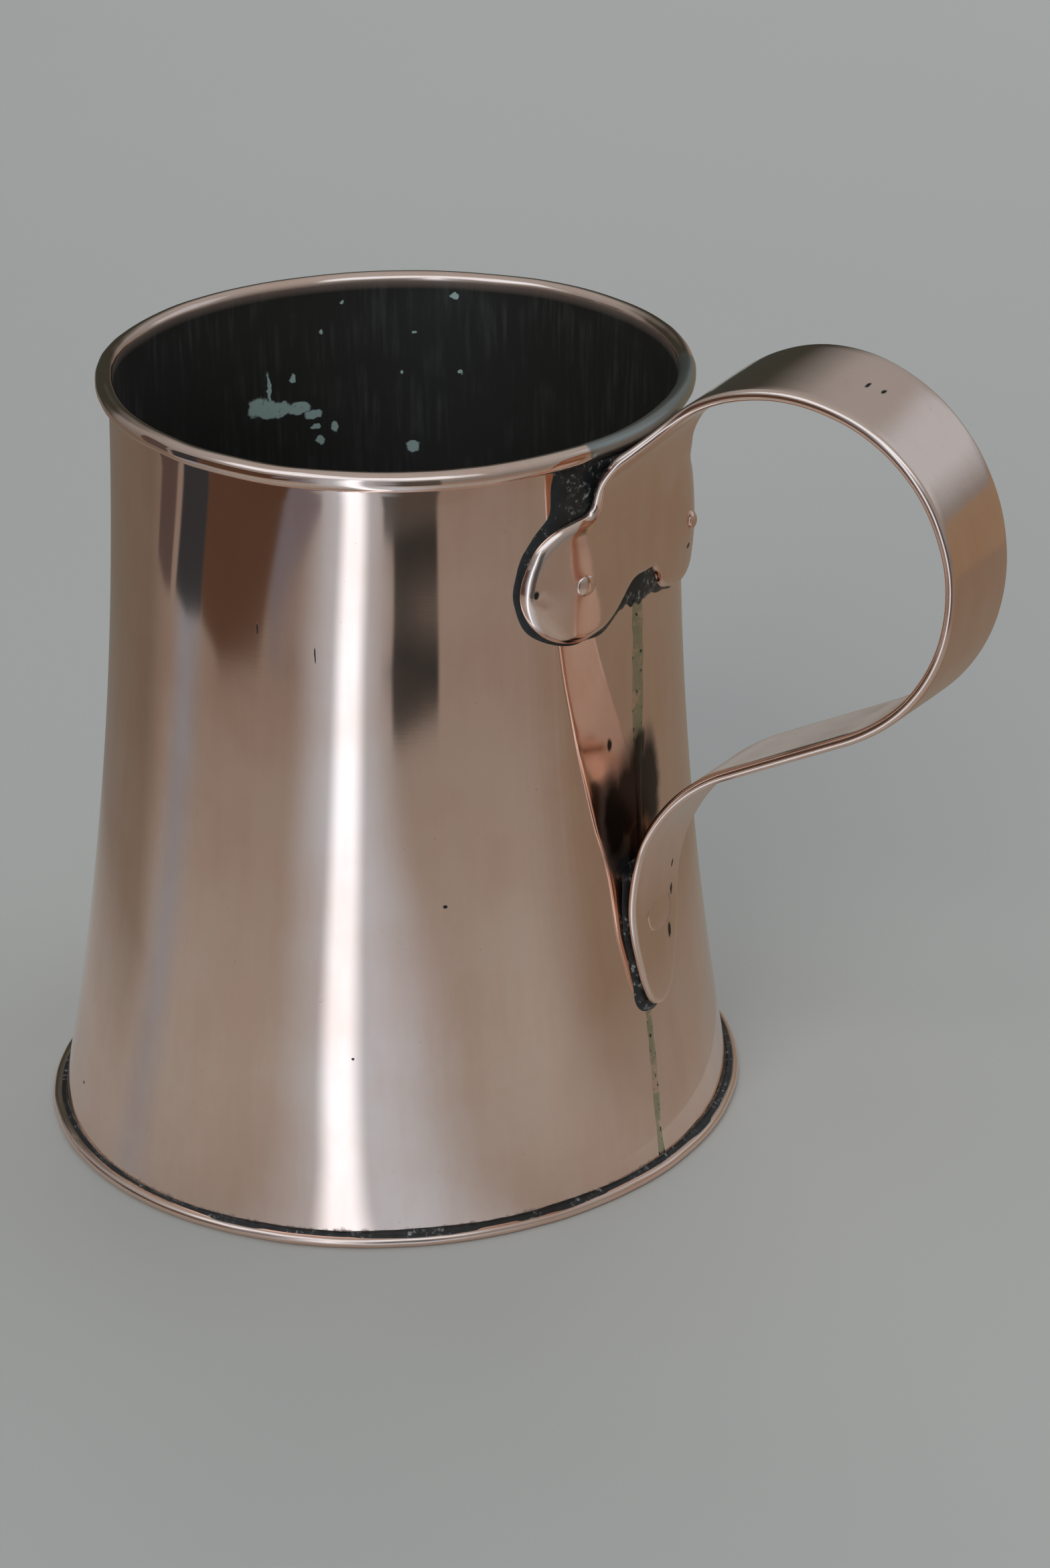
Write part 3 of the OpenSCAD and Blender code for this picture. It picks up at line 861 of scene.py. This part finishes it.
def make_upper_solder(material):
    """Solder round the lobes, and the black mound that fills the throat under the rim."""
    top = BEAD_Z - BEAD_R * 0.8
    lobe = [(v, z) for v, z in strap_outline().tolist() if z < 118.4]
    right = [q for q in lobe if q[0] >= 0]
    left = [q for q in lobe if q[0] < 0]
    shoulder = curve([(24.2, 118.7), (22.6, 121.2), (21.0, 123.2), (20.4, 125.0), (20.4, 128.0),
                      (20.4, top)])
    loop = np.array(even(right + shoulder + [(-v, z) for v, z in shoulder[::-1]] + left, 0.6))
    v, z = loop[:, 0], loop[:, 1]
    margin = 0.55 + 0.25 * noise_at(np.column_stack([v, z, 0 * v]), 5, 51)
    notch = np.exp(-(((v + 0.5) / 5) ** 2)) * smooth(111, 108, z)
    inner = smooth(-3, -6, v) * smooth(-15, -10, v) * smooth(110, 107, z)
    tucked = 0.5 * smooth(-19, -24, v) * smooth(105, 110, z) * smooth(118, 114, z)
    margin = (margin + 4.0 * notch + 1.2 * inner - tucked) * smooth(top + 0.2, top - 3, z)
    loop = grown(loop, margin)
    v, z = loop[:, 0], loop[:, 1]
    fringe = NOTCH_Z - 5.2 + 1.3 * noise_at(np.column_stack([v, 0 * v, 0 * v]), 1.8, 53) + (v / 6) ** 2
    loop[:, 1] = np.where((np.abs(v) < 6) & (z < 112), np.minimum(z, fringe), z)

    def place(q, s, side):
        v, z = q[:, 0], q[:, 1]
        if side <= 0:
            return on_wall(q, np.full(len(q), -0.15 if side else 0.0))
        x, _, _ = line_at(z)
        gap = np.clip(np.interp(z, LINE[: len(LINE) // 3, 1], LINE[: len(LINE) // 3, 0])
                      - STRAP_T / 2 - wall_r(z) + 0.15, 0.4, 3.4)
        throat = smooth(121, 124.5, z) * (1 - smooth(9.5, 14.5, np.abs(v)))
        lump = 0.22 * noise_at(np.column_stack([v, z, 0 * v]), 2.6, 52)
        height = 0.6 + (gap - 0.6) * throat + lump * (0.4 + throat)
        return on_wall(q, np.maximum(height, 0.12) * s**0.8)

    points, faces = slab(loop, 1.3, 5, 0.8, place)
    add_piece("solder_under_lobes", points, faces, material, ["upper_end_solder"])


def make_lower_solder(material):
    """The bed of solder that shows round the tongue, wider at the lower left of its tip."""
    outline = strap_outline()
    low_u = u_at(60)
    half = [(v, u) for v, u in outline.tolist() if u > low_u]
    heights = [(v, float(np.interp(u, LINE_U, LINE[:, 1]))) for v, u in half]
    loop = np.array(even(heights[::-1], 0.5))
    wider = 2.0 * np.exp(-(((loop[:, 0] + 2.5) / 5) ** 2 + ((loop[:, 1] - 32) / 4.5) ** 2))
    margin = -0.1 + wider + 0.2 * noise_at(np.column_stack([loop, 0 * loop[:, 0]]), 4, 61)
    loop = grown(loop, margin - 1.6 * smooth(44, 60, loop[:, 1]))

    def place(q, s, side):
        if side <= 0:
            return on_wall(q, np.full(len(q), -0.15 if side else 0.0))
        lump = 0.15 * noise_at(np.column_stack([q, 0 * q[:, 0]]), 2.2, 62)
        return on_wall(q, (0.62 + lump) * s**0.8)

    points, faces = slab(loop, 1.1, 5, 0.8, place)
    add_piece("solder_under_tongue", points, faces, material, ["lower_end_solder"])


def make_seam(material):
    """The brazed seam, a shallow uneven bead from the notch down to the foot."""
    heights = spaced(LIP_H + 0.3, NOTCH_Z + 2, 0.7)
    line = np.column_stack([0 * heights, 0 * heights, heights])
    drift = -0.9 + 0.9 * noise_at(line, 22, 71) - 1.0 * smooth(60, 25, heights)
    width = 1.15 + 0.65 * smooth(60, 90, heights)
    width = width + 0.35 * noise_at(line, 5, 72) + 0.15 * noise_at(line, 1.8, 73)
    right = list(zip(drift + width, heights))
    left = list(zip(drift - width * 0.95, heights))[::-1]
    loop = even([(float(a), float(b)) for a, b in right + left], 0.6)

    def place(q, s, side):
        if side < 0:
            return on_wall(q, np.full(len(q), -0.4))
        lump = 0.03 * noise_at(np.column_stack([q, 0 * q[:, 0]]), 2, 74)
        return on_wall(q, -0.04 + (0.13 + lump) * s if side else np.full(len(q), -0.04))

    points, faces = slab(loop, 0.8, 4, 0.8, place)
    add_piece("seam_brass", points, faces, material, ["side_seam_braze"])


def dome(radius, height, drop):
    """Profile of a low round head with its skirt sunk by a distance."""
    ball = (radius**2 + height**2) / (2 * height)
    span = math.degrees(math.asin(min(1, radius / ball)))
    cap = arc((0, height - ball), ball, 90 - span, 90, 8)
    return [(0, -drop), (radius * 0.96, -drop), *cap[:-1], (0, height)]


def make_rivets(material):
    """The two small round heads on the lobes, and the wide flat one in the tongue."""
    small, wide = SMALL_RIVET_D / 2, RIVET_D / 2
    for name, v, u, radius, height, side, replaced in [
        ("rivet_left_lobe", -LOBE_Y - 1.2, LOBE_Z, small, 0.5, 1, ["upper_rivets"]),
        ("rivet_right_lobe", LOBE_Y + 0.4, LOBE_Z + 0.2, small, 0.85, 1, []),
        ("rivet_in_tongue", 0.3, u_at(RIVET_Z + 0.8), wide, 0.14, -1, ["lower_rivet"]),
    ]:
        points, faces = turn(dome(radius, height, 0.7), 48)
        q = np.array([[v, u], [v + 0.1, u], [v, u + 0.1]])
        at, across, along = place_strap(q, np.ones(3), side)
        across, along = across - at, along - at
        across /= np.linalg.norm(across)
        out = side * np.cross(across, along)
        out /= np.linalg.norm(out)
        along = np.cross(out, across)
        placed = at + points @ np.array([across, along, out])
        add_piece(name, placed, faces, material, replaced)


# ---------------------------------------------------------------- the studio
# Where the camera stands and how it is turned, in metres and degrees
VIEW_AZIMUTH = -51.5
VIEW_DISTANCE = 0.5296
VIEW_HEIGHT = 0.2995
VIEW_ASIDE = -2.639
VIEW_DOWN = 24.63
VIEW_ROLL = -0.974
LENS = 75.4
DAYLIGHT = (0.66, 0.83, 1.0)
# Strength of the sky at the horizon and overhead
HORIZON = 0.20
ZENITH = 0.45


def around(turned, distance, height):
    """A point at an angle to the camera's right, a distance from the axis, in metres."""
    a = math.radians(VIEW_AZIMUTH + turned)
    return Vector((distance * math.cos(a), distance * math.sin(a), height))


def make_camera():
    data = bpy.data.cameras.new("camera")
    camera = bpy.data.objects.new("camera", data)
    bpy.context.scene.collection.objects.link(camera)
    heading = math.radians(VIEW_AZIMUTH + 180 + VIEW_ASIDE)
    down, roll = math.radians(VIEW_DOWN), math.radians(VIEW_ROLL)
    level = Vector((math.cos(heading), math.sin(heading), 0))
    ahead = Vector((*(level * math.cos(down)).xy, -math.sin(down)))
    side = Vector((math.sin(heading), -math.cos(heading), 0))
    above = side.cross(ahead)
    right = side * math.cos(roll) + above * math.sin(roll)
    up = above * math.cos(roll) - side * math.sin(roll)
    camera.matrix_world = Matrix((right, up, -ahead)).transposed().to_4x4()
    camera.location = around(0, VIEW_DISTANCE, VIEW_HEIGHT)
    data.sensor_width = 36
    data.lens = LENS
    data.clip_start = 0.01
    bpy.context.scene.camera = camera


def make_light(name, place, size, power, colour=(1, 1, 1)):
    """A soft light aimed at the mug. It lights surfaces, and the cards make the reflections."""
    data = bpy.data.lights.new(name, "AREA")
    data.shape = "RECTANGLE"
    data.size, data.size_y = size
    data.energy = power
    data.color = colour
    light = bpy.data.objects.new(name, data)
    light.location = place
    light.rotation_euler = (Vector((0, 0, 0.06)) - place).to_track_quat("-Z", "Y").to_euler()
    light.visible_camera = False
    light.visible_glossy = False
    bpy.context.scene.collection.objects.link(light)


def make_card(name, rows, colour, strength=1.0, soft=0.15):
    """A studio card that only reflections see, standing or lying round the mug.

    Each row is (distance from the axis, height, first angle, last angle, share), and the card
    runs from row to row. soft is the part of its width over which it fades at each side, and
    share fades a whole row.
    """
    m = Shader("card_" + name)
    glow = m.add("Emission", {"Color": colour, "Strength": strength})
    clear = m.add("BsdfTransparent")
    blend = m.add("MixShader", {0: m.zone("glow"), 1: clear.outputs[0], 2: glow.outputs[0]})
    m.tree.links.new(blend.outputs[0], m.output.inputs["Surface"])
    n = 48
    across = np.linspace(0, 1, n)
    points, glows = [], []
    for distance, height, start, end, share in rows:
        points += [around(start + (end - start) * t, distance, height) for t in across]
        glows.append(share * smooth(0, soft, np.minimum(across, 1 - across)))
    faces = [(row + i, row + i + 1, row + n + i + 1, row + n + i)
             for row in range(0, n * (len(rows) - 1), n) for i in range(n - 1)]
    mesh = bpy.data.meshes.new(name)
    mesh.from_pydata(points, [], faces)
    layer = mesh.attributes.new("glow", "FLOAT", "POINT")
    layer.data.foreach_set("value", np.concatenate(glows).astype(np.float32))
    mesh.materials.append(m.material)
    card = bpy.data.objects.new(name, mesh)
    bpy.context.scene.collection.objects.link(card)
    for ray in ("camera", "diffuse", "shadow", "transmission", "volume_scatter"):
        setattr(card, "visible_" + ray, False)
    card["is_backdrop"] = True


def make_cards():
    """What the polished copper reflects: a window, a table, and darker things in the room."""
    # Cards that lie on the floor overlap, so each kind has its own height just above it
    flat, middle, lower, low = 0.0012, 0.0013, 0.0014, 0.0016
    # The bright band down the front, and the wide paler glow round it
    window = [(0.06, flat, -16, -3, 1), (0.11, flat, -21, -7, 1), (0.19, flat, -26, -10, 1),
              (0.28, flat, -27, -12, 1), (0.34, flat, -27, -13, 1), (0.45, flat, -27, -13, 1),
              (0.52, 0.5, -27, -13, 1)]
    make_card("window", window, DAYLIGHT, 1.8, 0.4)
    glow = [(d, h - 0.0002, start - 16, end + (30 if d < 0.25 else 14), share)
            for d, h, start, end, share in window]
    make_card("glow", glow, DAYLIGHT, 0.72, 0.45)

    # The dark band to its right, and the things to its left
    person = [(0.281, low, -1, 13, 0), (0.288, low, -4, 14, 1), (0.305, low, -5, 14, 1),
              (0.312, low, -9, 14, 0.75), (1.0, low, -12, 14, 0.7), (1.1, 0.6, -12, 14, 0.7)]
    make_card("person", person, (0.020, 0.025, 0.027), 1.0, 0.08)
    brown = [(0.330, lower, -71, -57, 0), (0.342, lower, -76, -53, 1), (0.362, lower, -84, -48, 1),
             (0.380, lower, -87, -46, 1), (1.0, lower, -87, -45, 1), (1.05, 0.45, -87, -45, 1)]
    make_card("brown", brown, (0.080, 0.050, 0.034), 1.0, 0.08)
    violet = [(0.330, middle, -48, -42, 0), (0.337, middle, -52, -37, 1),
              (0.346, middle, -56, -32, 1), (1.0, middle, -56, -30, 1), (1.05, 0.45, -54, -30, 1)]
    make_card("violet", violet, (0.15, 0.155, 0.19), 1.0, 0.1)
    strip = [(0.065, flat, -66, -46, 0.5), (0.12, flat, -88, -68, 0.6), (0.24, flat, -98, -76, 0.8),
             (0.345, flat, -100, -78, 1), (1.0, flat, -100, -80, 1)]
    make_card("strip", strip, (0.24, 0.29, 0.35), 1.0, 0.5)
    shade = [(0.358, low, -89, -82.5, 0), (0.366, low, -92, -82.5, 0.9),
             (0.380, low, -97.5, -83, 1), (1.0, low, -97.5, -84, 1), (1.05, 0.45, -97.5, -84, 1)]
    make_card("shade", shade, (0.032, 0.038, 0.046), 1.0, 0.08)
    shade_left = [(0.372, low, -101, -99.5, 0), (0.384, low, -105, -99.5, 1),
                  (0.400, low, -109, -99.5, 1), (1.0, low, -113, -99.5, 1),
                  (1.05, 0.45, -113, -99.5, 1)]
    make_card("shade_left", shade_left, (0.085, 0.070, 0.072), 1.0, 0.1)

    # The brown table, under everything else
    table = [(0.15, 0.0006, -125, 60, 0), (0.34, 0.0006, -125, 60, 1), (2, 0.0006, -125, 60, 1)]
    make_card("table", table, (0.235, 0.212, 0.19), 1.0, 0.03)
    table = [(0.07, 0.0008, 40, 175, 0.4), (0.14, 0.0008, 40, 175, 1), (2, 0.0008, 40, 175, 1)]
    make_card("table_right", table, (0.22, 0.188, 0.15), 1.0, 0.2)
    table = [(0.09, 0.0009, -178, -70, 0), (0.17, 0.0009, -178, -82, 0.8),
             (0.30, 0.0009, -178, -95, 1), (2, 0.0009, -178, -110, 1)]
    make_card("table_left", table, (0.16, 0.142, 0.118), 1.0, 0.2)

    # The room, upright or overhead
    wood = [(0.6, 0.0, 60, 165, 1), (0.6, 0.20, 60, 165, 1)]
    make_card("wood", wood, (0.26, 0.21, 0.15), 1.0, 0.1)
    ceiling = [(0.75, 0.6, -100, 40, 0.3), (0.6, 0.75, -100, 40, 1), (0.35, 0.95, -100, 40, 0.6)]
    make_card("ceiling", ceiling, DAYLIGHT, 1.5, 0.15)
    plants = [(0.8, 0.0, 150, 235, 1), (0.8, 0.44, 150, 235, 1), (0.8, 0.85, 150, 235, 0)]
    make_card("plants", plants, (0.04, 0.045, 0.036), 1.0, 0.2)
    wall = [(0.8, 0.25, 80, 132, 0), (0.8, 0.45, 80, 132, 1), (0.6, 0.8, 80, 132, 1)]
    make_card("wall", wall, (0.47, 0.56, 0.65), 1.0, 0.3)


def make_floor():
    m = Shader("floor_pale")
    m.set(Base_Color=m.mix(m.noise(400, 2), (0.60, 0.595, 0.575), (0.57, 0.565, 0.545)), Roughness=1.0)
    m.surface.inputs["Specular IOR Level"].default_value = 0.0
    mesh = bpy.data.meshes.new("floor")
    half = 8
    corners = [(-half, -half, 0), (half, -half, 0), (half, half, 0), (-half, half, 0)]
    mesh.from_pydata(corners, [], [(0, 1, 2, 3)])
    mesh.materials.append(m.material)
    floor = bpy.data.objects.new("floor", mesh)
    bpy.context.scene.collection.objects.link(floor)
    floor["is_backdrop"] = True


def make_studio():
    world = bpy.data.worlds.new("studio")
    bpy.context.scene.world = world
    world.use_nodes = True
    nodes, links = world.node_tree.nodes, world.node_tree.links
    direction = nodes.new("ShaderNodeTexCoord").outputs["Generated"]
    split = nodes.new("ShaderNodeSeparateXYZ")
    links.new(direction, split.inputs[0])
    rise = nodes.new("ShaderNodeMapRange")
    for index, value in enumerate((0.0, 1.0, HORIZON, ZENITH), 1):
        rise.inputs[index].default_value = value
    links.new(split.outputs["Z"], rise.inputs[0])
    sky = nodes["Background"]
    sky.inputs["Color"].default_value = (0.88, 0.96, 1.0, 1)
    links.new(rise.outputs[0], sky.inputs["Strength"])
    make_floor()
    make_light("window", around(-24, 1.3, 0.9), (0.7, 1.0), 6, (1, 0.99, 0.97))
    make_light("room", around(100, 1.6, 1.3), (1.5, 1.5), 5, (0.97, 0.98, 1))
    make_light("behind", around(170, 1.5, 1.2), (1.4, 1.0), 5)
    make_cards()
    bpy.context.scene.view_settings.view_transform = "Standard"


make_camera()
make_studio()
solder = solder_material()
make_body(body_copper())
make_wire(wire_material())
make_base(plain_copper("copper_base", 0.17))
make_inner_fillet(solder)
make_groove_solder(solder)
make_strap(handle_copper())
make_upper_solder(solder)
make_lower_solder(solder)
make_seam(spelter_material())
make_rivets(plain_copper("copper_rivet", 0.13))

bpy.context.view_layer.update()
boxes = {"cad_box": CAD_BOX, "visual_box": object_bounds()}
{name: [list(corner) for corner in box] for name, box in boxes.items()}
